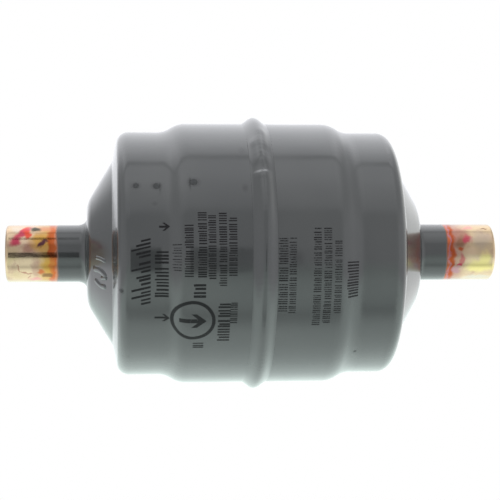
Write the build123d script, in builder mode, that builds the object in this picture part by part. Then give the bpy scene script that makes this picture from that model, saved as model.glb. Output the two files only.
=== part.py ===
from build123d import *

import os
from math import atan2, degrees, sqrt

# Welded steel filter drier for a refrigerant line. Two drawn cups meet at a girth weld,
# with a copper solder fitting brazed into each end and a moulded desiccant core inside.
# The axis is X: liquid enters at -X and leaves at +X. +Z is up, and the origin lies on
# the axis, in the plane of the girth weld. All lengths are millimetres.

os.makedirs("parts", exist_ok=True)

# ---- Driving sizes: the steel shell ----------------------------------------------------
overall_length = 108.0          # over both fittings
wall = 1.2                      # sheet thickness of both cups
body_radius = 28.6              # outside of the cups beside the weld
body_half_length = 15.0         # from the weld's plane to where the cup starts to step in
step_length = 6.4
step_depth = 1.9
shoulder_length = 8.2           # from the end of the step to the end face
corner_radius = 2.7             # outside rounding from shoulder to end face
face_width = 6.5                # end face, from the shoulder in to the dome's foot
face_rise = 1.4                 # the end face slopes out by this much towards the dome
dome_foot_rounding = 1.6
dome_height = 5.5               # from the dome's foot to the flat crown
crown_radius = 11.0             # where the cone's line meets the crown's plane
crown_rounding = 6.5
neck_clearance = 0.05           # radial gap between the spigot and the hole in the crown

# ---- Driving sizes: the girth joint ----------------------------------------------------
seam_gap = 1.6                  # between the two full-size cup edges, filled by the weld
joggle_length = 1.2             # slope that carries the outlet cup's edge inwards
lip_length = 4.0                # inner lip that slides into the inlet cup
lip_clearance = 0.05            # radial gap between the lip and the inlet cup
weld_width = 4.8
weld_height = 1.45              # crest above the cups
weld_crest_share = 0.75         # share of the half width that the convex crest takes
weld_toe = 0.06                 # thickness of the bead's feathered edges
lap_rise = 0.2                  # where the bead laps over its own start
lap_half_width = 2.0
lap_angle = 9.0
lap_place = 40.0                # above the front (-Y), round the axis

# ---- Driving sizes: the fittings -------------------------------------------------------
fitting_radius = 6.25
tube_radius = 4.7625            # 3/8 inch tube goes into each socket
tube_clearance = 0.0375         # radial solder gap
socket_depth = 10.0
stop_step = 0.9                 # the bore narrows by this much at the tube's stop
spigot_step = 0.65              # the spigot is this much slimmer than the fitting
spigot_reach = 1.5              # beyond the crown's inner face
mouth_rounding = 0.7
mouth_bevel = 0.3
braze_spread = 1.15             # braze fillet's leg on the crown
braze_climb = 1.6               # braze fillet's leg along the fitting
braze_edge = 0.08

# ---- Driving sizes: what lies inside ---------------------------------------------------
inner_clearance = 0.2           # round every disc that sits inside a shoulder
support_thickness = 1.0
support_rim = 1.0               # wall that is turned up round the pad
support_hole_radius = 1.5
support_hole_pitch = 5.4
support_hole_margin = 5.3       # no hole's centre lies nearer to the support's edge
screen_thickness = 0.4
screen_gap = 1.6
screen_pitch = 3.4
screen_rim = 2.8                # from the screen's edge to its outermost gaps' centres
pad_thickness = 3.0
gasket_thickness = 1.5
gasket_width = 9.8
core_inset = 0.05               # the core is this much slimmer than the gasket
core_length = 46.5
core_draft = 0.5                # how much slimmer the core is at its inlet end
core_edge = 1.2
cavity_radius = 5.2
cavity_depth = 34.0
spring_plate_thickness = 0.8
spring_plate_lugs = 8
lug_gap_radius = 4.0            # flow gaps between the lugs
spring_wire = 1.4
spring_turns = 3.5
spring_inset = 8.3              # from the spring plate's edge to the base coil
spring_tip_radius = 8.6
spring_tip_gap = 0.1
ring_gap = 0.3                  # round the spring's base coil
ring_wall = 0.9
ring_height = 1.0

# ---- Places that follow from them ------------------------------------------------------
shoulder_radius = body_radius - step_depth
step_end = body_half_length + step_length
end_face = step_end + shoulder_length
dome_foot = end_face + face_rise
dome_foot_radius = shoulder_radius - face_width
crown_face = dome_foot + dome_height
fitting_end = overall_length / 2
spigot_radius = fitting_radius - spigot_step
neck_radius = spigot_radius + neck_clearance
socket_radius = tube_radius + tube_clearance
stop_radius = socket_radius - stop_step
half_gap = seam_gap / 2
lip_radius = body_radius - wall - lip_clearance
lip_start = half_gap - joggle_length
weld_half = weld_width / 2
weld_crest = body_radius + weld_height

# The discs stack up towards the inlet from where the support's edge meets the outlet cup.
face_slope = face_rise / face_width
face_inside = end_face - wall * sqrt(1 + face_slope**2)
support_radius = shoulder_radius - corner_radius - inner_clearance
support_seat = face_inside + face_slope * (shoulder_radius - support_radius)
support_hole_field = support_radius - support_hole_margin
pad_radius = support_radius - support_rim - inner_clearance
gasket_inner_radius = support_radius - gasket_width
core_radius = support_radius - core_inset
support_start = support_seat - support_thickness
screen_start = support_start - screen_thickness
pad_start = screen_start - pad_thickness
gasket_start = pad_start - gasket_thickness
core_start = gasket_start - core_length
spring_plate_start = core_start - spring_plate_thickness
lug_radius = shoulder_radius - wall - inner_clearance
spring_base_radius = lug_radius - spring_inset
ring_radius = spring_base_radius + spring_wire / 2 + ring_gap
spring_length = spring_plate_start + crown_face - wall - spring_tip_gap
screen_field = pad_radius - screen_rim


def write(piece, name):
    """Label a finished sub-part and write its file."""
    piece.label = name
    export_step(piece, f"parts/{name}.step")


def cup_end():
    """Outside of a cup from its straight body to the hole in its crown."""
    step_middle = (body_half_length + step_length / 2, body_radius - step_depth / 2)
    TangentArc((body_half_length, body_radius), step_middle, tangent=(1, 0))
    TangentArc((step_end, shoulder_radius), step_middle, tangent=(-1, 0))
    FilletPolyline(
        (step_end, shoulder_radius),
        (end_face, shoulder_radius),
        (dome_foot, dome_foot_radius),
        (crown_face, crown_radius),
        (crown_face, neck_radius),
        radius=[corner_radius, dome_foot_rounding, crown_rounding],
    )


# ---- Inlet cup: its plain edge takes the other cup's lip -------------------------------
with BuildPart() as inlet_shell:
    with BuildSketch() as inlet_wall:
        with BuildLine() as inlet_outline:
            Line((half_gap, body_radius), (body_half_length, body_radius))
            cup_end()
            offset(amount=wall, side=Side.RIGHT)
        make_face()
        mirror(about=Plane.YZ, mode=Mode.REPLACE)
    revolve(axis=Axis.X)
write(inlet_shell.part, "inlet_shell")

# ---- Outlet cup: its edge is joggled inwards to make the lip ---------------------------
with BuildPart() as outlet_shell:
    with BuildSketch() as outlet_wall:
        with BuildLine() as outlet_outline:
            Line((lip_start - lip_length, lip_radius), (lip_start, lip_radius))
            Line((lip_start, lip_radius), (half_gap, body_radius))
            Line((half_gap, body_radius), (body_half_length, body_radius))
            cup_end()
            offset(amount=wall, side=Side.RIGHT)
        make_face()
    revolve(axis=Axis.X)
write(outlet_shell.part, "outlet_shell")

# ---- Girth weld: a root in the groove, a rounded crown and a short lap over its start --
toe_radius = body_radius + weld_toe
crest_half = weld_half * weld_crest_share
crest_edge = weld_crest - (weld_crest - toe_radius) * weld_crest_share

with BuildPart() as girth_weld:
    with BuildSketch() as weld_section:
        with BuildLine() as weld_outline:
            TangentArc((-weld_half, toe_radius), (-crest_half, crest_edge), tangent=(1, 0))
            ThreePointArc((-crest_half, crest_edge), (0, weld_crest), (crest_half, crest_edge))
            TangentArc((weld_half, toe_radius), (crest_half, crest_edge), tangent=(-1, 0))
            Polyline(
                (weld_half, toe_radius),
                (weld_half, body_radius),
                (half_gap, body_radius),
                (lip_start, lip_radius),
                (-half_gap, lip_radius),
                (-half_gap, body_radius),
                (-weld_half, body_radius),
                (-weld_half, toe_radius),
            )
        make_face()
    revolve(axis=Axis.X)
    with BuildSketch(Plane.XY.rotated((180 - lap_place - lap_angle / 2, 0, 0))) as lap_section:
        with BuildLine() as lap_outline:
            ThreePointArc(
                (-lap_half_width, body_radius),
                (0, weld_crest + lap_rise),
                (lap_half_width, body_radius),
            )
            Line((lap_half_width, body_radius), (-lap_half_width, body_radius))
        make_face()
    revolve(axis=Axis.X, revolution_arc=lap_angle)
write(girth_weld.part, "girth_weld")


# ---- Fittings and their braze ----------------------------------------------------------
def fitting_tube(side):
    """Copper fitting: tube socket, stop and a slimmer spigot through the crown."""
    with BuildPart() as tube:
        with BuildSketch() as tube_wall:
            with BuildLine() as tube_outline:
                Polyline(
                    (fitting_end - mouth_rounding, fitting_radius),
                    (crown_face, fitting_radius),
                    (crown_face, spigot_radius),
                    (crown_face - wall - spigot_reach, spigot_radius),
                    (crown_face - wall - spigot_reach, stop_radius),
                    (fitting_end - socket_depth, stop_radius),
                    (fitting_end - socket_depth, socket_radius),
                    (fitting_end - mouth_bevel, socket_radius),
                    (fitting_end, socket_radius + mouth_bevel),
                    (fitting_end, fitting_radius - mouth_rounding),
                )
                RadiusArc(
                    (fitting_end, fitting_radius - mouth_rounding),
                    (fitting_end - mouth_rounding, fitting_radius),
                    -mouth_rounding,
                )
            make_face()
            if side < 0:
                mirror(about=Plane.YZ, mode=Mode.REPLACE)
        revolve(axis=Axis.X)
    return tube.part


def braze_ring(side):
    """Braze that has run into the corner between crown and fitting."""
    with BuildPart() as braze:
        with BuildSketch() as braze_section:
            with BuildLine() as braze_outline:
                Polyline(
                    (crown_face + braze_edge, fitting_radius + braze_spread),
                    (crown_face, fitting_radius + braze_spread),
                    (crown_face, fitting_radius),
                    (crown_face + braze_climb, fitting_radius),
                    (crown_face + braze_climb, fitting_radius + braze_edge),
                )
                TangentArc(
                    (crown_face + braze_climb, fitting_radius + braze_edge),
                    (crown_face + braze_edge, fitting_radius + braze_spread),
                    tangent=(-1, 0),
                )
            make_face()
            if side < 0:
                mirror(about=Plane.YZ, mode=Mode.REPLACE)
        revolve(axis=Axis.X)
    return braze.part


for place, side in (("inlet", -1), ("outlet", 1)):
    write(fitting_tube(side), f"{place}_fitting")
    write(braze_ring(side), f"{place}_braze_ring")


# ---- Between core and outlet cup: a perforated support with a rim, screen, pad, gasket --
with BuildPart() as outlet_support:
    with BuildSketch(Plane.YZ.offset(support_start)) as support_face:
        Circle(support_radius)
        Circle(support_hole_radius, mode=Mode.SUBTRACT)
        for ring in range(1, int(support_hole_field / support_hole_pitch) + 1):
            with PolarLocations(ring * support_hole_pitch, 6 * ring):
                Circle(support_hole_radius, mode=Mode.SUBTRACT)
    extrude(amount=support_thickness)
    with BuildSketch(Plane.YZ.offset(support_start)) as rim_face:
        Circle(support_radius)
        Circle(support_radius - support_rim, mode=Mode.SUBTRACT)
    extrude(amount=pad_start - support_start)
write(outlet_support.part, "outlet_support")

screen_count = int(2 * screen_field / screen_pitch) + 1
screen_grid = GridLocations(screen_pitch, screen_pitch, screen_count, screen_count)
screen_spots = [spot for spot in screen_grid if spot.position.length < screen_field]

with BuildPart() as wire_screen:
    with BuildSketch(Plane.YZ.offset(screen_start)) as screen_face:
        Circle(pad_radius)
        with Locations(screen_spots):
            Rectangle(screen_gap, screen_gap, mode=Mode.SUBTRACT)
    extrude(amount=screen_thickness)
write(wire_screen.part, "wire_screen")

with BuildPart() as filter_pad:
    with BuildSketch(Plane.YZ.offset(pad_start)) as pad_face:
        Circle(pad_radius)
    extrude(amount=pad_thickness)
write(filter_pad.part, "filter_pad")

with BuildPart() as core_gasket:
    with BuildSketch(Plane.YZ.offset(gasket_start)) as gasket_face:
        Circle(support_radius)
        Circle(gasket_inner_radius, mode=Mode.SUBTRACT)
    extrude(amount=gasket_thickness)
write(core_gasket.part, "core_gasket")

# ---- Moulded core: liquid goes in at its outside and leaves by the blind cavity --------
with BuildPart() as desiccant_core:
    with BuildSketch() as core_section:
        with BuildLine() as core_outline:
            Polyline(
                (core_start, 0),
                (core_start, core_radius - core_draft - core_edge),
                (core_start + core_edge, core_radius - core_draft),
                (gasket_start - core_edge, core_radius),
                (gasket_start, core_radius - core_edge),
                (gasket_start, cavity_radius),
                (gasket_start - cavity_depth + cavity_radius, cavity_radius),
            )
            CenterArc(
                (gasket_start - cavity_depth + cavity_radius, 0),
                cavity_radius,
                start_angle=90,
                arc_size=90,
            )
            Line((gasket_start - cavity_depth, 0), (core_start, 0))
        make_face()
    revolve(axis=Axis.X)
write(desiccant_core.part, "desiccant_core")

# ---- Spring plate: lugs centre it in the shoulder, a ring keeps the spring in place -----
with BuildPart() as spring_plate:
    with BuildSketch(Plane.YZ.offset(spring_plate_start)) as plate_face:
        Circle(lug_radius)
        with PolarLocations(lug_radius, spring_plate_lugs):
            Circle(lug_gap_radius, mode=Mode.SUBTRACT)
    extrude(amount=spring_plate_thickness)
    with BuildSketch(Plane.YZ.offset(spring_plate_start)) as ring_face:
        Circle(ring_radius + ring_wall)
        Circle(ring_radius, mode=Mode.SUBTRACT)
    extrude(amount=-ring_height)
write(spring_plate.part, "spring_plate")

# ---- Conical spring between the inlet crown and the plate, ground flat at both ends ----
spring_tip_plane = Plane.YZ.offset(spring_plate_start - spring_length)
spring_slope = atan2(spring_base_radius - spring_tip_radius, spring_length)

with BuildPart() as inlet_spring:
    with BuildLine() as spring_path:
        coil = Helix(
            pitch=spring_length / spring_turns,
            height=spring_length,
            radius=spring_tip_radius,
            center=spring_tip_plane.origin,
            direction=spring_tip_plane.z_dir,
            cone_angle=degrees(spring_slope),
        )
    with BuildSketch(Plane(origin=coil @ 0, z_dir=coil % 0)) as wire_section:
        Circle(spring_wire / 2)
    sweep(is_frenet=True)
    split(bisect_by=Plane.YZ.offset(spring_plate_start), keep=Keep.BOTTOM)
    split(bisect_by=spring_tip_plane, keep=Keep.TOP)
write(inlet_spring.part, "inlet_spring")
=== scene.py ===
"""Looks for a liquid-line filter drier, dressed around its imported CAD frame.

Everything is in metres in the frame's own axes: X along the drier from inlet to outlet, Z up.
Places round the axis are angles in degrees: 0 faces the viewer (-Y), 90 is straight up.
"""

from math import atan2, cos, degrees, exp, pi, radians, sin, sqrt
from random import Random

import bpy
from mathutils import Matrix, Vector


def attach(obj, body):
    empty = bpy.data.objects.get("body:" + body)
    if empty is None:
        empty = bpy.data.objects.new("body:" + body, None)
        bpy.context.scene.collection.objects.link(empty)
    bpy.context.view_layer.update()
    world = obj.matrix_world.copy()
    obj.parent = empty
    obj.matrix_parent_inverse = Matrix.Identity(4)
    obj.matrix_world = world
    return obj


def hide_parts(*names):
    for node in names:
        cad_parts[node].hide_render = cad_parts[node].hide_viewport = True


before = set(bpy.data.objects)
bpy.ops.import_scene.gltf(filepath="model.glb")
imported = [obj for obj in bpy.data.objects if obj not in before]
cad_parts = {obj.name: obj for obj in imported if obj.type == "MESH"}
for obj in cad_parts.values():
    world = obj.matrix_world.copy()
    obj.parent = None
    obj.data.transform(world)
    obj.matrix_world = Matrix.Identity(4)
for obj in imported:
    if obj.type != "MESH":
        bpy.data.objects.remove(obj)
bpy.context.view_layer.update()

MM = 0.001

# ---- Sizes of the drier that the scene's own pieces follow -----------------------------
body_radius = 28.6 * MM
shoulder_radius = 26.7 * MM
step_start = 15.0 * MM          # where the body starts to step in to the shoulder
step_end = 21.4 * MM
corner_start = 27.42 * MM       # from here the shoulder rounds off towards the end face
corner_radius = 2.7 * MM
weld_half = 2.65 * MM           # half the bead's width
weld_height = 1.45 * MM
weld_sink = 0.03 * MM           # the bead's thin edges end this far below the paint
groove_half = 0.8 * MM          # the bead's root fills the groove between the cups
groove_floor = 27.35 * MM
dome_foot = 31.0 * MM           # the dome's cone runs from here to the crown
foot_radius = 20.2 * MM
crown_face = 36.5 * MM
crown_radius = 11.0 * MM
fitting_radius = 6.25 * MM
inlet_paint_edge = -42.7 * MM   # where the paint ends on each fitting
outlet_paint_edge = 42.8 * MM
ink_height = 0.03 * MM          # print stands this far off the paint


# ---- Small helpers ---------------------------------------------------------------------
def on_round(x, radius, angle):
    """Point on a cylinder about the axis."""
    return Vector((x, -radius * cos(radians(angle)), radius * sin(radians(angle))))


def shell_radius(x):
    """Radius of the cups at x: body, an S-shaped step of two arcs, shoulder, rounded corner."""
    if abs(x) > corner_start:
        return shoulder_radius - corner_radius + sqrt(corner_radius ** 2 - (abs(x) - corner_start) ** 2)
    out = min(max(abs(x), step_start), step_end)
    span = step_end - step_start
    drop = body_radius - shoulder_radius
    arc = (span ** 2 + drop ** 2) / (4 * drop)
    if out < step_start + span / 2:
        return body_radius - arc + sqrt(arc ** 2 - (out - step_start) ** 2)
    return shoulder_radius + arc - sqrt(arc ** 2 - (step_end - out) ** 2)


def add(tree, kind, inputs=None, **settings):
    """New shader node. An input may be a value or the output socket that feeds it."""
    made = tree.nodes.new("ShaderNode" + kind)
    for name, value in settings.items():
        setattr(made, name, value)
    for name, value in (inputs or {}).items():
        if isinstance(value, bpy.types.NodeSocket):
            tree.links.new(value, made.inputs[name])
        else:
            made.inputs[name].default_value = value
    return made


def maths(tree, operation, first, second, third=0.0):
    """Output of a Math node."""
    return add(tree, "Math", {0: first, 1: second, 2: third}, operation=operation).outputs[0]


def smooth(tree, value, low, high, to_low=0.0, to_high=1.0):
    """Value eased from to_low at low to to_high at high."""
    inputs = {"Value": value, "From Min": low, "From Max": high, "To Min": to_low, "To Max": to_high}
    return add(tree, "MapRange", inputs, interpolation_type="SMOOTHSTEP").outputs["Result"]


def mix(tree, factor, first, second):
    """Blend of two colours, each a socket or an RGBA value."""
    inputs = {"Factor": factor, 6: first, 7: second}
    return add(tree, "Mix", inputs, data_type="RGBA").outputs[2]


def noise(tree, vector, scale, detail=3.0, roughness=0.5):
    """Value of a noise texture of about 1 / scale metres a wave."""
    inputs = {"Vector": vector, "Scale": scale, "Detail": detail, "Roughness": roughness}
    return add(tree, "TexNoise", inputs).outputs["Fac"]


def bump(tree, height, depth, under=None):
    """Normal from a height of 0 to 1, depth metres deep, on top of the normal under it."""
    inputs = {"Height": height, "Distance": depth}
    if under is not None:
        inputs["Normal"] = under
    return add(tree, "Bump", inputs).outputs["Normal"]


def vector_maths(tree, operation, first, second):
    """Vector output of a Vector Math node."""
    return add(tree, "VectorMath", {0: first, 1: second}, operation=operation).outputs[0]


def length(tree, vector):
    return add(tree, "VectorMath", {0: vector}, operation="LENGTH").outputs["Value"]


def split_axes(tree, vector):
    """The X, Y and Z of a vector, by name."""
    return add(tree, "SeparateXYZ", {0: vector}).outputs


def rgb(red, green, blue):
    return (red, green, blue, 1.0)


def new_material(name):
    """Material with its tree, its Principled shader and the piece's own coordinates."""
    made = bpy.data.materials.new(name)
    made.use_nodes = True
    tree = made.node_tree
    place = add(tree, "TexCoord").outputs["Object"]
    return made, tree, tree.nodes["Principled BSDF"], place


def dress(piece, material):
    """Give a piece or a CAD node one material all over."""
    piece.data.materials.clear()
    piece.data.materials.append(material)


def new_piece(name, points, faces, material, shade=True):
    """Mesh piece on the painted outside that rides with the drier."""
    mesh = bpy.data.meshes.new(name)
    mesh.from_pydata([tuple(point) for point in points], [], faces)
    mesh.validate()
    mesh.update()
    if shade:
        mesh.shade_smooth()
    piece = bpy.data.objects.new(name, mesh)
    bpy.context.scene.collection.objects.link(piece)
    dress(piece, material)
    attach(piece, "root")
    return piece


def join_meshes(meshes):
    """One list of points and one of faces for several (points, faces)."""
    points = []
    faces = []
    for more_points, more_faces in meshes:
        start = len(points)
        points += more_points
        faces += [tuple(corner + start for corner in face) for face in more_faces]
    return points, faces


# ---- Materials -------------------------------------------------------------------------
PAINT = rgb(0.038, 0.042, 0.043)
PAINT_WORN = rgb(0.05, 0.054, 0.054)
PAINT_IOR = 1.6
INK = rgb(0.006, 0.006, 0.007)
INK_IOR = 1.28                  # low, so that the ink looks duller than the paint round it


def paint_surface(tree, place):
    """Colour, roughness and normal of glossy sprayed enamel with a slight orange peel."""
    cloud = noise(tree, place, 45.0, 2.0)
    colour = mix(tree, smooth(tree, cloud, 0.35, 0.7), PAINT, PAINT_WORN)
    haze = noise(tree, place, 160.0, 4.0)
    rough = smooth(tree, haze, 0.3, 0.8, 0.1, 0.17)
    swell = noise(tree, place, 110.0, 1.0)
    peel = noise(tree, place, 620.0, 2.0)
    normal = bump(tree, swell, 0.05 * MM)
    normal = bump(tree, peel, 0.004 * MM, normal)
    return colour, rough, normal


def flatten(tree, place, radius):
    """Coordinates unrolled off a cylinder: X, and the arc upwards from the front."""
    split = split_axes(tree, place)
    forward = maths(tree, "MULTIPLY", split["Y"], -1.0)
    arc = maths(tree, "MULTIPLY", maths(tree, "ARCTAN2", split["Z"], forward), radius)
    return add(tree, "CombineXYZ", {"X": split["X"], "Y": arc}).outputs[0]


def blotches(tree, colour, flat_place, radius, spots, core, rim):
    """Spots that fade out from core to rim times their size.

    Each is (x mm, angle, half length mm, half height mm, turn in degrees, strength, colour).
    """
    for x, angle, half_length, half_height, turn, strength, tint in spots:
        centre = (x * MM, radians(angle) * radius, 0)
        inputs = {
            "Vector": flat_place,
            "Location": centre,
            "Rotation": (0, 0, radians(turn)),
            "Scale": (half_length * MM, half_height * MM, 1),
        }
        spot = add(tree, "Mapping", inputs, vector_type="TEXTURE").outputs[0]
        blend = smooth(tree, length(tree, spot), core, rim, strength, 0.0)
        colour = mix(tree, blend, colour, tint)
    return colour


# Dull smudges in the paint, as blotches takes them.
SMUDGE = rgb(0.008, 0.009, 0.01)
SMUDGES = (
    (-26.2, 33.6, 1.1, 1.0, 20, 0.9, SMUDGE),
    (-22.0, 33.4, 1.3, 1.1, 0, 0.95, SMUDGE),
    (-14.4, 32.8, 1.5, 1.2, 0, 1.0, SMUDGE),
    (-22.4, 24.5, 0.7, 0.6, 0, 0.4, SMUDGE),
    (-3.9, 51.0, 1.0, 1.4, 0, 0.5, SMUDGE),
    (-3.9, 30.0, 0.7, 1.1, 0, 0.6, SMUDGE),
    (20.3, -49.7, 0.8, 0.8, 0, 0.7, SMUDGE),
    (-29.3, -15.0, 0.8, 0.8, 0, 0.9, SMUDGE),
    (6.8, -0.5, 1.3, 1.8, 0, 0.35, SMUDGE),
)


def make_paint():
    made, tree, shader, place = new_material("grey_enamel")
    colour, rough, normal = paint_surface(tree, place)
    colour = blotches(tree, colour, flatten(tree, place, body_radius), body_radius, SMUDGES, 0.2, 1.3)
    tree.links.new(colour, shader.inputs["Base Color"])
    tree.links.new(rough, shader.inputs["Roughness"])
    tree.links.new(normal, shader.inputs["Normal"])
    shader.inputs["IOR"].default_value = PAINT_IOR
    return made


STRAW = rgb(0.42, 0.32, 0.2)
CREAM = rgb(0.47, 0.35, 0.24)
MAUVE = rgb(0.27, 0.15, 0.13)
ROSE_BROWN = rgb(0.26, 0.12, 0.09)
ROSE = rgb(0.46, 0.2, 0.19)
GOLD = rgb(0.38, 0.21, 0.045)
ORANGE = rgb(0.36, 0.09, 0.03)
DEEP_ORANGE = rgb(0.28, 0.05, 0.012)
SALMON = rgb(0.36, 0.15, 0.09)
MAGENTA = rgb(0.32, 0.035, 0.065)
RED = rgb(0.45, 0.055, 0.03)
PURPLE = rgb(0.06, 0.02, 0.035)
VIOLET = rgb(0.3, 0.16, 0.2)
BROWN = rgb(0.14, 0.07, 0.035)
SOOT = rgb(0.03, 0.03, 0.022)
PALE_YELLOW = rgb(0.58, 0.48, 0.2)
GREY_BEIGE = rgb(0.33, 0.27, 0.21)
SILVER = rgb(0.42, 0.38, 0.33)

# Heat tint of each fitting, as heat_bands and blotches take it. The far bands lie under the
# spots, and the near bands over them.
INLET_FAR_BANDS = (
    (2.0, 5.5, 0.75, GOLD),
    (1.5, 2.3, 0.85, ORANGE),
)
INLET_SPOTS = (
    (-51.2, 58, 2.0, 1.4, 0, 0.6, SILVER),
    (-48.9, 13, 2.0, 1.5, 0, 0.75, ROSE_BROWN),
    (-46.2, 26, 2.8, 2.3, 0, 0.9, GOLD),
    (-44.1, 24, 0.9, 3.0, 0, 0.85, DEEP_ORANGE),
    (-50.2, 48, 3.4, 1.0, 50, 0.95, MAGENTA),
    (-52.0, 26, 1.6, 1.1, 20, 0.95, MAGENTA),
    (-49.1, 45, 1.0, 1.3, 0, 0.95, RED),
    (-49.6, 62, 1.1, 0.7, 30, 0.7, RED),
    (-46.0, 22, 1.3, 0.65, 35, 0.95, PURPLE),
    (-45.2, 28, 0.8, 0.4, 10, 0.8, PURPLE),
    (-45.3, 62, 2.0, 1.2, 0, 0.7, SALMON),
    (-47.4, 60, 1.15, 1.2, -20, 0.95, SOOT),
    (-44.6, -24, 1.6, 2.4, 0, 0.8, GOLD),
    (-47.4, -29, 1.1, 3.0, 0, 0.5, MAUVE),
    (-46.3, -38, 0.9, 0.8, 0, 0.85, ORANGE),
    (-44.9, -47, 1.3, 0.8, 0, 0.8, BROWN),
    (-47.4, -60, 1.5, 0.8, 0, 0.8, ROSE),
    (-51.1, -28, 0.24, 1.0, 12, 0.7, ROSE_BROWN),
    (-50.2, -38, 1.0, 0.22, -25, 0.75, ROSE_BROWN),
    (-48.9, -41, 0.9, 0.2, 5, 0.7, ROSE_BROWN),
    (-48.8, -52, 0.28, 0.8, -10, 0.6, ROSE_BROWN),
)
INLET_NEAR_BANDS = (
    (1.3, 1.8, 0.6, ORANGE),
    (0.8, 1.2, 0.6, ORANGE),
    (0.45, 0.8, 0.9, SALMON),
)

OUTLET_FAR_BANDS = (
    (2.0, 5.5, 0.75, MAUVE),
    (1.5, 2.3, 0.85, DEEP_ORANGE),
)
OUTLET_SPOTS = (
    (46.3, 34, 2.2, 3.2, 0, 0.7, ROSE_BROWN),
    (46.0, 22, 1.5, 1.6, 0, 0.6, BROWN),
    (47.7, 29, 1.4, 1.1, 0, 0.85, MAGENTA),
    (46.3, 8, 0.7, 0.5, 0, 0.85, DEEP_ORANGE),
    (46.3, -14, 0.6, 1.7, 0, 0.6, MAGENTA),
    (46.0, -26, 0.6, 0.45, 0, 0.9, MAGENTA),
    (45.3, -37, 1.3, 1.0, 0, 0.7, VIOLET),
    (48.4, 62, 1.4, 0.8, 0, 0.75, ROSE),
    (51.9, 57, 0.9, 0.25, 0, 0.8, BROWN),
    (50.5, -29, 3.4, 1.6, 0, 0.9, PALE_YELLOW),
    (51.8, -10, 1.5, 1.8, 0, 0.8, PALE_YELLOW),
    (50.5, -60, 3.4, 1.0, 0, 0.75, SILVER),
    (50.7, 30, 2.4, 2.8, 0, 0.7, GREY_BEIGE),
)
OUTLET_NEAR_BANDS = (
    (1.3, 1.8, 0.6, DEEP_ORANGE),
    (0.8, 1.2, 0.6, VIOLET),
    (0.45, 0.8, 0.9, ORANGE),
)
stir_reach = 2.2 * MM           # how far the heat tint is stirred
edge_wave = 0.55 * MM           # how far the paint's edge on the copper wanders either way


def heat_bands(tree, colour, distance, bands):
    """Tints round the fitting: (full up to mm from the paint, gone at mm, strength, colour)."""
    for full, gone, strength, tint in bands:
        blend = smooth(tree, distance, full * MM, gone * MM, strength, 0.0)
        colour = mix(tree, blend, colour, tint)
    return colour


def make_fitting(name, side, paint_edge, far_bands, spots, near_bands, seed):
    """Copper with the heat tint of brazing, under paint near the shell."""
    made, tree, shader, place = new_material(name)
    shifted = vector_maths(tree, "ADD", place, (seed, 0, 0))

    # Places on the unrolled copper, stirred so that the tint's edges run irregularly.
    stir = add(tree, "TexNoise", {"Vector": shifted, "Scale": 500.0, "Detail": 3.0}).outputs["Color"]
    stir = vector_maths(tree, "SUBTRACT", stir, (0.5, 0.5, 0.5))
    stir = add(tree, "VectorMath", {0: stir, "Scale": stir_reach}, operation="SCALE").outputs[0]
    stirred = vector_maths(tree, "ADD", flatten(tree, place, fitting_radius), stir)

    # Distance from the paint's wavy edge towards the mouth, plain and stirred.
    slow = noise(tree, shifted, 170.0, 2.0)
    wave = maths(tree, "MULTIPLY_ADD", slow, 2 * edge_wave, -edge_wave)
    bare = maths(tree, "MULTIPLY_ADD", split_axes(tree, place)["X"], side, -abs(paint_edge))
    bare = maths(tree, "ADD", bare, wave)
    band = maths(tree, "MULTIPLY_ADD", split_axes(tree, stirred)["X"], side, -abs(paint_edge))
    band = maths(tree, "ADD", band, wave)

    base = mix(tree, smooth(tree, slow, 0.4, 0.62), CREAM, STRAW)
    mottle = noise(tree, shifted, 420.0, 4.0, 0.6)
    base = mix(tree, smooth(tree, mottle, 0.5, 0.75, 0.0, 0.45), base, MAUVE)
    base = heat_bands(tree, base, band, far_bands)
    base = blotches(tree, base, stirred, fitting_radius, spots, 0.4, 1.25)
    base = heat_bands(tree, base, band, near_bands)

    paint_colour, paint_rough, normal = paint_surface(tree, place)
    uncovered = smooth(tree, bare, -0.15 * MM, 0.5 * MM)
    scratches = vector_maths(tree, "MULTIPLY", place, (1.0, 9.0, 9.0))
    drawn = noise(tree, scratches, 260.0, 5.0, 0.65)
    copper_rough = smooth(tree, drawn, 0.3, 0.75, 0.09, 0.2)
    rougher = maths(tree, "SUBTRACT", copper_rough, paint_rough)
    rough = maths(tree, "MULTIPLY_ADD", rougher, uncovered, paint_rough)
    normal = bump(tree, drawn, 0.006 * MM, normal)
    paint_step = smooth(tree, bare, -0.05 * MM, 0.15 * MM, 1.0, 0.0)
    normal = bump(tree, paint_step, 0.05 * MM, normal)
    tree.links.new(mix(tree, uncovered, paint_colour, base), shader.inputs["Base Color"])
    tree.links.new(uncovered, shader.inputs["Metallic"])
    tree.links.new(rough, shader.inputs["Roughness"])
    tree.links.new(normal, shader.inputs["Normal"])
    shader.inputs["IOR"].default_value = PAINT_IOR
    return made


def make_ink(name, wear, tone, ior):
    """Dull ink or dirt of one tone. Wear lets specks of the paint below show."""
    made, tree, shader, place = new_material(name)
    grain = noise(tree, place, 2600.0, 3.0)
    worn = smooth(tree, grain, 0.62 - wear, 0.75 - wear)
    colour = mix(tree, worn, tone, PAINT)
    rough = smooth(tree, grain, 0.2, 0.9, 0.45, 0.3)
    tree.links.new(colour, shader.inputs["Base Color"])
    tree.links.new(rough, shader.inputs["Roughness"])
    tree.links.new(bump(tree, grain, 0.004 * MM), shader.inputs["Normal"])
    shader.inputs["IOR"].default_value = ior
    return made


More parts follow.
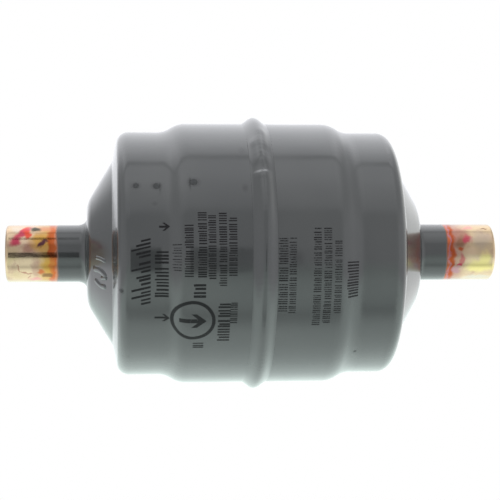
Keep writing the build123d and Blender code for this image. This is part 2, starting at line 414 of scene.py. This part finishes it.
def make_steel(name, low, high, roughness, grain):
    """Bare steel with a fine drawn or rolled grain."""
    made, tree, shader, place = new_material(name)
    streak = noise(tree, place, grain, 5.0, 0.7)
    colour = mix(tree, smooth(tree, streak, 0.3, 0.7), low, high)
    rough = smooth(tree, streak, 0.2, 0.8, roughness * 0.75, roughness * 1.25)
    tree.links.new(colour, shader.inputs["Base Color"])
    tree.links.new(rough, shader.inputs["Roughness"])
    tree.links.new(bump(tree, streak, 0.01 * MM), shader.inputs["Normal"])
    shader.inputs["Metallic"].default_value = 1.0
    return made


def make_granular(name, low, high, grain, depth):
    """Matt bonded stuff: desiccant granules, felt or fibre, by the size of its grain."""
    made, tree, shader, place = new_material(name)
    cells = add(tree, "TexVoronoi", {"Vector": place, "Scale": grain}).outputs["Distance"]
    cloud = noise(tree, place, grain * 0.3, 5.0, 0.7)
    mixed = maths(tree, "MULTIPLY", cells, cloud)
    colour = mix(tree, smooth(tree, mixed, 0.05, 0.45), low, high)
    rough = smooth(tree, cloud, 0.2, 0.8, 0.8, 0.98)
    tree.links.new(colour, shader.inputs["Base Color"])
    tree.links.new(rough, shader.inputs["Roughness"])
    tree.links.new(bump(tree, mixed, depth), shader.inputs["Normal"])
    return made


paint = make_paint()
speck = make_ink("dull_speck", 0.1, rgb(0.026, 0.028, 0.029), 1.4)
ink = make_ink("marking_ink", 0.0, INK, INK_IOR)
worn_ink = make_ink("worn_marking_ink", 0.12, INK, INK_IOR)
inlet_copper = make_fitting(
    "inlet_copper", -1.0, inlet_paint_edge, INLET_FAR_BANDS, INLET_SPOTS, INLET_NEAR_BANDS, 0.31)
outlet_copper = make_fitting(
    "outlet_copper", 1.0, outlet_paint_edge, OUTLET_FAR_BANDS, OUTLET_SPOTS, OUTLET_NEAR_BANDS, 0.74)

node_materials = {
    "inlet_shell": paint,
    "outlet_shell": paint,
    "girth_weld": paint,
    "inlet_braze_ring": paint,
    "outlet_braze_ring": paint,
    "inlet_fitting": inlet_copper,
    "outlet_fitting": outlet_copper,
    "inlet_spring": make_steel(
        "spring_wire", rgb(0.2, 0.2, 0.21), rgb(0.42, 0.43, 0.45), 0.35, 900.0),
    "spring_plate": make_steel(
        "pressed_sheet", rgb(0.45, 0.46, 0.47), rgb(0.6, 0.61, 0.62), 0.3, 500.0),
    "outlet_support": make_steel(
        "punched_sheet", rgb(0.45, 0.46, 0.47), rgb(0.58, 0.59, 0.6), 0.32, 520.0),
    "wire_screen": make_steel(
        "screen_wire", rgb(0.5, 0.51, 0.52), rgb(0.66, 0.67, 0.68), 0.28, 1400.0),
    "desiccant_core": make_granular(
        "desiccant_granules", rgb(0.42, 0.34, 0.25), rgb(0.7, 0.62, 0.5), 900.0, 0.2 * MM),
    "core_gasket": make_granular(
        "pressed_felt", rgb(0.5, 0.48, 0.42), rgb(0.72, 0.7, 0.64), 1600.0, 0.1 * MM),
    "filter_pad": make_granular(
        "glass_fibre", rgb(0.62, 0.58, 0.34), rgb(0.85, 0.83, 0.66), 1300.0, 0.15 * MM),
}
for node, material in node_materials.items():
    dress(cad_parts[node], material)


# ---- Girth weld: a bead with soft ripples, and the crater where it ended ---------------
crater_place = 36.0             # degrees
# The crater in millimetres. It starts with a steep side, and ends with a slope back up.
crater_depth = 0.42
crater_wall = 1.1               # length of the steep side
crater_tail_start = 1.3
crater_tail = 2.6               # length of the slope
crater_reach = 1.3              # half its width across the bead
lip_rise = 0.1                  # of the low lip just before it
lip_half = 0.7
# Lumps and a hollow beyond the crater, in millimetres: arc from the crater, x, height.
weld_lumps = (
    (9.5, -1.3, 0.16),
    (6.5, 0.9, -0.1),
    (13.5, 0.6, 0.1),
)
lump_half = 1.6                 # round the shell
top_margin = 0.05 * MM          # keeps the swelling crest inside the solid bead's reach
ripple_pitch = 1.3 * MM
ripple_rise = 0.004 * MM


def hump(value, centre, half):
    """Bell of height 1 round centre."""
    return exp(-((value - centre) / half) ** 2)


def ease(value):
    """Smooth step from 0 to 1."""
    value = min(max(value, 0.0), 1.0)
    return value * value * (3 - 2 * value)


def weld_rise(x, angle):
    """Height of the bead above the cups."""
    wander = 0.1 * MM * sin(radians(2 * angle + 30)) + 0.06 * MM * sin(radians(5 * angle))
    off_crest = abs(x - wander * (1 - abs(x) / weld_half))
    across = min(off_crest / weld_half, 1.0)
    swell = 0.03 * MM * sin(radians(3 * angle + 70)) + 0.015 * MM * sin(radians(11 * angle))
    rise = (weld_height - top_margin + swell) * (0.5 + 0.5 * cos(pi * across)) ** 0.8
    ripple = sin(radians(angle) * body_radius / ripple_pitch * 2 * pi + 1.5 * across)
    rise += ripple_rise * ripple * (1 - across)
    along = (angle - crater_place + 180) % 360 - 180
    arc = radians(along) * body_radius / MM
    crater = ease(arc / crater_wall) - ease((arc - crater_tail_start) / crater_tail)
    lip = hump(arc, -lip_half, lip_half)
    rise += (lip_rise * lip - crater_depth * crater) * MM * hump(x, -0.2 * MM, crater_reach * MM)
    for lump_arc, lump_x, lump in weld_lumps:
        rise += lump * MM * hump(arc, lump_arc, lump_half) * hump(x, lump_x * MM, 1.0 * MM)
    return rise if across < 1 else -weld_sink


def make_weld():
    """Ring of sections: the bead from edge to edge, then down and up the groove below it."""
    around = 1200
    across = 36
    points = []
    faces = []
    for turn in range(around):
        angle = turn * 360 / around
        for step in range(across + 1):
            x = weld_half * (2 * step / across - 1)
            points.append(on_round(x, body_radius + weld_rise(x, angle), angle))
        points.append(on_round(groove_half, body_radius - weld_sink, angle))
        points.append(on_round(groove_half, groove_floor, angle))
        points.append(on_round(-groove_half, groove_floor, angle))
        points.append(on_round(-groove_half, body_radius - weld_sink, angle))
    ring = across + 5
    for turn in range(around):
        here = turn * ring
        there = (turn + 1) % around * ring
        for step in range(ring):
            follow = (step + 1) % ring
            faces.append((here + step, here + follow, there + follow, there + step))
    bead = new_piece("weld_bead", points, faces, paint)
    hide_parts("girth_weld")


make_weld()


# ---- Print on the shell: rows of plain bars, flow arrows and a round flow mark ---------
print_cell = 0.45               # largest side of a print patch's cells, in millimetres
upright_cuts = (0.0, 0.0, 0.12)  # shares of its height by which a bar may start late


class Print:
    """Collects flat patches of ink laid on the shell."""

    def __init__(self):
        self.points = []
        self.faces = []

    def patch(self, corners, radius):
        """Quad between four (x mm, arc mm) corners, in cells small enough to follow the shell."""
        first, second, third, fourth = [Vector(corner) for corner in corners]
        long_side = max((second - first).length, (third - fourth).length)
        short_side = max((fourth - first).length, (third - second).length)
        columns = int(long_side / print_cell) + 1
        rows = int(short_side / print_cell) + 1
        start = len(self.points)
        for row in range(rows + 1):
            for column in range(columns + 1):
                low = first.lerp(second, column / columns)
                high = fourth.lerp(third, column / columns)
                x, arc = low.lerp(high, row / rows)
                angle = degrees(arc * MM / radius)
                self.points.append(on_round(x * MM, shell_radius(x * MM) + ink_height, angle))
        for row in range(rows):
            for column in range(columns):
                corner = start + row * (columns + 1) + column
                above = corner + columns + 1
                self.faces.append((corner, corner + 1, above + 1, above))

    def bar(self, x0, x1, arc0, arc1, radius, lean=0.0):
        """Bar along X from x0 to x1 and round the shell from arc0 to arc1."""
        self.patch(((x0, arc0), (x1, arc0 + lean), (x1, arc1 + lean), (x0, arc1)), radius)

    def row(self, line, radius, rng, lean=0.0, cuts=upright_cuts):
        """Row of plain bars that stands in for a line of print, with a few gaps."""
        middle, height, start, end, weight, pitch = line
        arc = radians(start) * radius / MM
        last = radians(end) * radius / MM
        bottom = middle - height / 2
        block = rng.randint(7, 16)
        while arc + pitch * 0.8 < last:
            if block == 0:
                block = rng.randint(5, 16)
                arc += pitch * 0.7
                continue
            block -= 1
            cut = rng.choice(cuts)
            left = arc + pitch * rng.uniform(0.0, 0.25) + lean * cut
            right = left + weight * rng.uniform(0.8, 1.25)
            low = bottom + height * cut
            self.bar(low, bottom + height, left, right, radius, lean * (1 - cut))
            arc += pitch

    def arrow(self, tail, tip, middle, radius, weight, head):
        """Arrow along +X at an arc of middle mm."""
        self.bar(tail, tip - weight * 0.5, middle - weight / 2, middle + weight / 2, radius)
        for side in (-1, 1):
            corners = (
                (tip, middle),
                (tip - head, middle + side * head * 0.8),
                (tip - head - weight * 1.2, middle + side * head * 0.8),
                (tip - weight * 1.4, middle),
            )
            self.patch(corners if side < 0 else corners[::-1], radius)

    def ring(self, x, middle, outer, inner, radius):
        """Flat ring round (x, middle)."""
        steps = 56
        for step in range(steps):
            a = 2 * pi * step / steps
            b = 2 * pi * (step + 1) / steps
            self.patch((
                (x + inner * cos(a), middle + inner * sin(a)),
                (x + outer * cos(a), middle + outer * sin(a)),
                (x + outer * cos(b), middle + outer * sin(b)),
                (x + inner * cos(b), middle + inner * sin(b)),
            ), radius)

    def finish(self, name, material):
        new_piece(name, self.points, self.faces, material, shade=False)


# Rows of print: x of the middle, height, start and end angle, bar width, bar pitch.
# All but the angles are millimetres.
fine_rows = (
    (-18.0, 1.8, -5.5, 6.3, 0.16, 0.6),
    (3.65, 1.9, -22.9, 10.3, 0.22, 0.52),
    (5.6, 1.5, -23.7, 8.7, 0.2, 0.5),
    (10.7, 1.6, -29.5, 12.8, 0.2, 0.48),
    (12.85, 1.6, -28.6, 13.5, 0.2, 0.48),
    (15.0, 1.5, -23.9, 8.2, 0.17, 0.5),
)
bold_rows = (
    (-15.6, 1.8, -7.6, 14.1, 0.24, 0.5),
    (-12.9, 1.8, -8.0, 19.5, 0.26, 0.5),
    (-10.9, 1.6, -8.5, 18.5, 0.24, 0.5),
    (-8.7, 1.6, -11.4, 20.0, 0.24, 0.5),
    (-6.65, 1.7, -7.3, 17.0, 0.24, 0.5),
    (-8.3, 2.5, -37.3, -18.3, 0.38, 0.68),
    (-6.35, 1.5, -28.1, -17.5, 0.22, 0.5),
    (-13.45, 2.2, -41.5, -37.5, 0.3, 0.6),
    (-13.4, 2.5, -16.6, -9.4, 0.45, 0.8),
    (18.2, 2.5, -17.4, -1.4, 0.3, 0.62),
)
upright_row = (-21.1, 2.8, -17.6, 3.6, 0.36, 0.72)
leaning_row = (-25.3, 3.9, -22.6, 7.5, 0.42, 0.85)
leaning_row_lean = 0.9
leaning_row_cuts = (0.0, 0.25, 0.4, 0.5)

# Flow arrows on the inlet's shoulder: x of the tail in mm, angle.
flow_arrows = (
    (-21.6, 13.8),
    (-22.5, -27.5),
)
flow_tip = -19.4
flow_weight = 0.42
flow_head = 1.05

mark_x = -14.7
mark_angle = -27.1
mark_outer = 4.65
mark_inner = 3.95
mark_tail = -17.5
mark_tip = -11.9
mark_weight = 0.9
mark_head = 2.0


def make_print():
    rng = Random(11)
    fine = Print()
    for line in fine_rows:
        fine.row(line, body_radius, rng)
    fine.finish("fine_print_rows", worn_ink)

    bold = Print()
    for line in bold_rows:
        bold.row(line, body_radius, rng)
    bold.finish("bold_print_rows", ink)

    heading = Print()
    heading.row(upright_row, shoulder_radius, rng)
    heading.row(leaning_row, shoulder_radius, rng, leaning_row_lean, leaning_row_cuts)
    heading.finish("heading_rows", ink)

    flow = Print()
    for tail, angle in flow_arrows:
        middle = radians(angle) * shoulder_radius / MM
        flow.arrow(tail, flow_tip, middle, shoulder_radius, flow_weight, flow_head)
    flow.finish("flow_arrows", ink)

    mark = Print()
    middle = radians(mark_angle) * body_radius / MM
    mark.ring(mark_x, middle, mark_outer, mark_inner, body_radius)
    mark.arrow(mark_tail, mark_tip, middle, body_radius, mark_weight, mark_head)
    mark.finish("round_flow_mark", ink)


make_print()


# ---- Raised strokes stamped on the inlet dome ------------------------------------------
stroke_rise = 0.27 * MM
stroke_sink = 0.02 * MM         # its edges end this far below the paint
# Strokes: start and end as (share of the way up the cone, angle), bow in degrees, half width mm.
stamped_strokes = (
    ((0.66, -1.2), (0.26, -3.6), 0.5, 0.45),
    ((0.74, -11.6), (0.23, -14.2), 2.0, 0.7),
    ((0.44, -17.0), (0.22, -14.6), 0.5, 0.5),
    ((0.68, -20.8), (0.25, -20.8), -2.0, 0.6),
)


def on_cone(share, angle):
    """Point on the inlet dome's cone, a share of the way up from its foot, and its normal."""
    x = -(dome_foot + (crown_face - dome_foot) * share)
    radius = foot_radius + (crown_radius - foot_radius) * share
    slope = atan2(crown_face - dome_foot, foot_radius - crown_radius)
    outward = on_round(0, 1, angle)
    normal = (outward * sin(slope) + Vector((-cos(slope), 0, 0))).normalized()
    return on_round(x, radius, angle), normal


def raised_stroke(route, half_width):
    """Rounded ridge along a route of (share, angle) on the cone, with tapered ends."""
    points = []
    faces = []
    slices = 9
    spots = [on_cone(share, angle) for share, angle in route]
    for index, (spot, normal) in enumerate(spots):
        ahead = spots[min(index + 1, len(spots) - 1)][0] - spots[max(index - 1, 0)][0]
        sideways = normal.cross(ahead.normalized())
        end = min(index, len(spots) - 1 - index) / 3
        fade = sqrt(max(1 - (1 - min(end, 1.0)) ** 2, 0.0))
        for step in range(slices):
            turn = pi * step / (slices - 1)
            lift = stroke_rise * fade * sin(turn) - stroke_sink
            width = 0.35 + 0.65 * fade
            points.append(spot + sideways * half_width * cos(turn) * width + normal * lift)
    for index in range(len(spots) - 1):
        for step in range(slices - 1):
            first = index * slices + step
            faces.append((first, first + 1, first + slices + 1, first + slices))
    return points, faces


def bowed_route(start, end, bow):
    """Route between two (share, angle) places, bowed sideways by bow degrees."""
    steps = 18
    route = []
    for step in range(steps + 1):
        part = step / steps
        share = start[0] + (end[0] - start[0]) * part
        angle = start[1] + (end[1] - start[1]) * part + bow * sin(pi * part)
        route.append((share, angle))
    return route


def make_stamp():
    ridges = []
    for start, end, bow, half_width in stamped_strokes:
        ridges.append(raised_stroke(bowed_route(start, end, bow), half_width * MM))
    points, faces = join_meshes(ridges)
    new_piece("stamped_strokes", points, faces, paint)


make_stamp()


# ---- Nibs in the paint -----------------------------------------------------------------
nib_clearance = 0.02            # millimetres between a nib's edge and the paint
# Nibs: x mm, angle, half width mm, rise of the middle above the edge mm.
paint_nibs = (
    (-26.2, 33.6, 0.6, 0.015),
    (-22.0, 33.4, 0.7, 0.015),
    (-14.4, 32.8, 0.75, 0.015),
    (-29.3, -15.0, 0.4, 0.01),
    (20.3, -49.7, 0.35, 0.015),
    (-9.5, 140.0, 0.55, 0.015),
    (11.0, 205.0, 0.5, 0.015),
)


def make_nibs():
    """Low round bumps that follow the shell."""
    meshes = []
    rings = 7
    around = 20
    for x, angle, half, rise in paint_nibs:
        points = []
        faces = []
        for ring in range(rings + 1):
            reach = half * ring / rings
            lift = rise * (0.5 + 0.5 * cos(pi * ring / rings)) + nib_clearance
            for step in range(around):
                turn = 2 * pi * step / around
                place = (x + reach * cos(turn)) * MM
                radius = shell_radius(place)
                arc = degrees(reach * sin(turn) * MM / radius)
                points.append(on_round(place, radius + lift * MM, angle + arc))
        for ring in range(rings):
            for step in range(around):
                follow = (step + 1) % around
                first = ring * around
                second = first + around
                faces.append((first + step, second + step, second + follow, first + follow))
        meshes.append((points, faces))
    points, faces = join_meshes(meshes)
    new_piece("paint_nibs", points, faces, speck)


make_nibs()


# ---- Camera ----------------------------------------------------------------------------
camera_distance = 0.323
camera_azimuth = -5.85
camera_elevation = 2.2
frame_width = 0.1115            # width seen at the drier's axis
sensor_width = 36.0             # the camera's own, in millimetres
camera_shift = (-0.0034, 0.0055)    # sideways and up, as shares of the picture


def make_camera():
    camera = bpy.data.cameras.new("camera")
    camera.sensor_width = sensor_width
    camera.lens = sensor_width * camera_distance / frame_width
    camera.shift_x, camera.shift_y = camera_shift
    camera.clip_start = 0.01
    holder = bpy.data.objects.new("camera", camera)
    azimuth = radians(camera_azimuth)
    elevation = radians(camera_elevation)
    toward = (sin(azimuth) * cos(elevation), -cos(azimuth) * cos(elevation), sin(elevation))
    holder.location = camera_distance * Vector(toward)
    holder.rotation_euler = (-holder.location).to_track_quat("-Z", "Y").to_euler()
    bpy.context.scene.collection.objects.link(holder)
    bpy.context.scene.camera = holder


make_camera()


# ---- Light: a pale tent that gloss reflects, and soft boxes for matt surfaces ----------
PLAIN = (0.98, 0.99, 1.03)
NEUTRAL = (0.975, 0.99, 0.985)
GREENISH = (0.87, 1.0, 0.96)
# The tent by the angle round the drier's axis: angle, level, tint.
TENT = (
    (-180, 1.5, PLAIN),
    (-165, 1.45, GREENISH),
    (-145, 1.95, GREENISH),
    (-118, 2.25, GREENISH),
    (-72, 1.95, GREENISH),
    (-65, 1.7, GREENISH),
    (-59, 1.3, GREENISH),
    (-53, 1.07, GREENISH),
    (-47, 1.37, GREENISH),
    (-36, 1.55, GREENISH),
    (-25, 1.45, GREENISH),
    (-15, 1.1, GREENISH),
    (-4, 0.95, PLAIN),
    (38, 0.92, PLAIN),
    (44, 1.23, PLAIN),
    (61, 1.5, PLAIN),
    (74, 1.73, PLAIN),
    (90, 1.68, PLAIN),
    (95, 1.1, PLAIN),
    (99, 1.9, PLAIN),
    (113, 2.3, PLAIN),
    (124, 2.3, PLAIN),
    (139, 2.05, PLAIN),
    (165, 1.35, PLAIN),
    (180, 1.5, PLAIN),
)
tent_peak = 2.4                 # above every level of the tent
high_end_level = 1.1            # towards either end and up
low_end_level = 2.1             # towards either end and down
front_inlet_level = 1.15        # towards the inlet end, in front of the drier
front_outlet_level = 1.3        # and towards the outlet end
rear_inlet_level = 0.7          # towards the inlet end, behind the drier, from the axis upwards
rear_low_inlet_level = 1.6      # and below the axis
rear_outlet_level = 1.8
# Darker openings in front: from and to which angle, from and to which X of the direction,
# how soft they are along X, level.
tent_openings = (
    (-16, 8, -0.12, 0.12, 0.05, 0.09),
    (58, 72, -0.08, -0.005, 0.02, 0.28),
)
opening_edge = 3                # degrees
diffuse_level = 0.6             # what the tent gives to matt surfaces


def make_world():
    world = bpy.data.worlds.new("tent")
    bpy.context.scene.world = world
    world.use_nodes = True
    tree = world.node_tree
    tree.nodes.clear()

    def grey(level, tint=PLAIN):
        return rgb(*(level / tent_peak * part for part in tint))

    direction = split_axes(tree, add(tree, "TexCoord").outputs["Generated"])
    forward = maths(tree, "MULTIPLY", direction["Y"], -1.0)
    angle = maths(tree, "ARCTAN2", direction["Z"], forward)
    share = maths(tree, "MULTIPLY_ADD", angle, 0.5 / pi, 0.5)
    ramp = add(tree, "ValToRGB", {"Fac": share})
    stops = ramp.color_ramp.elements
    for number, (degree, level, tint) in enumerate(TENT):
        stop = stops[number] if number < 2 else stops.new(1.0)
        stop.position = (degree + 180) / 360
        stop.color = grey(level, tint)

    seen = ramp.outputs["Color"]
    for start, end, left, right, soft, level in tent_openings:
        above = smooth(tree, angle, radians(start), radians(start + opening_edge))
        below = smooth(tree, angle, radians(end - opening_edge), radians(end), 1.0, 0.0)
        after = smooth(tree, direction["X"], left, left + soft)
        before = smooth(tree, direction["X"], right - soft, right, 1.0, 0.0)
        up = maths(tree, "MULTIPLY", above, below)
        across = maths(tree, "MULTIPLY", after, before)
        seen = mix(tree, maths(tree, "MULTIPLY", up, across), seen, grey(level))

    high = smooth(tree, direction["Z"], 0.3, 0.6)
    low = smooth(tree, direction["Z"], -0.5, -0.2, 1.0, 0.0)
    rear = smooth(tree, direction["Y"], -0.1, 0.3)
    rear_low = smooth(tree, direction["Z"], -0.15, -0.05, 1.0, 0.0)
    rear_inlet = mix(tree, rear_low, grey(rear_inlet_level), grey(rear_low_inlet_level))
    inlet = mix(tree, rear, grey(front_inlet_level), rear_inlet)
    outlet = mix(tree, rear, grey(front_outlet_level), grey(rear_outlet_level, NEUTRAL))
    to_inlet = smooth(tree, direction["X"], -0.75, -0.42, 1.0, 0.0)
    to_outlet = smooth(tree, direction["X"], 0.3, 0.65)
    for toward, level in ((to_inlet, inlet), (to_outlet, outlet)):
        level = mix(tree, high, level, grey(high_end_level))
        level = mix(tree, low, level, grey(low_end_level, GREENISH))
        seen = mix(tree, toward, seen, level)

    white_colour = rgb(1, 1, 1)
    gloss = add(tree, "Background", {"Color": seen, "Strength": tent_peak}).outputs[0]
    matt = add(tree, "Background", {"Color": white_colour, "Strength": diffuse_level}).outputs[0]
    white = add(tree, "Background", {"Color": white_colour, "Strength": 1.0}).outputs[0]
    path = add(tree, "LightPath").outputs
    lit = add(tree, "MixShader", {0: path["Is Glossy Ray"], 1: matt, 2: gloss}).outputs[0]
    direct = maths(tree, "MAXIMUM", path["Is Camera Ray"], path["Is Transmission Ray"])
    shown = add(tree, "MixShader", {0: direct, 1: lit, 2: white}).outputs[0]
    add(tree, "OutputWorld", {"Surface": shown})


def make_lamp(name, place, size, watts):
    """Square soft box aimed at the drier. Gloss reflects the tent in its place."""
    light = bpy.data.lights.new(name, "AREA")
    light.size = size
    light.energy = watts
    lamp = bpy.data.objects.new(name, light)
    lamp.location = place
    lamp.rotation_euler = (-Vector(place)).to_track_quat("-Z", "Y").to_euler()
    lamp.visible_glossy = False
    bpy.context.scene.collection.objects.link(lamp)


make_world()
# Soft boxes: name, place, side, watts.
for box in (
    ("soft_box_left", (-0.45, -0.5, 0.6), 0.5, 2.2),
    ("soft_box_right", (0.5, -0.35, 0.55), 0.5, 1.4),
    ("soft_box_back", (0.1, 0.6, 0.6), 0.6, 1.6),
):
    make_lamp(*box)


# ---- Floor: pale, well below the drier, fading into the white round it -----------------
floor_drop = 0.12
floor_reach = 0.34
floor_solid = 0.16              # it starts to fade at this distance from its middle
floor_clear = 0.323             # and is gone at this one
floor_glow = 0.18               # lifts the pale floor towards the white round it


def make_floor():
    made, tree, shader, place = new_material("pale_floor")
    grain = noise(tree, place, 60.0, 4.0)
    colour = mix(tree, grain, rgb(0.86, 0.86, 0.86), rgb(0.9, 0.9, 0.9))
    tree.links.new(colour, shader.inputs["Base Color"])
    shader.inputs["Roughness"].default_value = 0.8
    fade = smooth(tree, length(tree, place), floor_solid, floor_clear)
    clear = add(tree, "BsdfTransparent").outputs[0]
    glow = add(tree, "Emission", {"Color": rgb(1, 1, 1), "Strength": floor_glow}).outputs[0]
    lit = add(tree, "AddShader", {0: shader.outputs[0], 1: glow}).outputs[0]
    surface = add(tree, "MixShader", {0: fade, 1: lit, 2: clear}).outputs[0]
    tree.links.new(surface, tree.nodes["Material Output"].inputs["Surface"])

    steps = 64
    rim = []
    for step in range(steps):
        turn = 2 * pi * step / steps
        rim.append((floor_reach * cos(turn), floor_reach * sin(turn), 0))
    mesh = bpy.data.meshes.new("floor")
    mesh.from_pydata(rim, [], [tuple(range(steps))])
    floor = bpy.data.objects.new("floor", mesh)
    floor.location = (0, 0, -floor_drop)
    floor.visible_glossy = False
    bpy.context.scene.collection.objects.link(floor)
    dress(floor, made)


make_floor()

bpy.context.scene.view_settings.view_transform = "Standard"
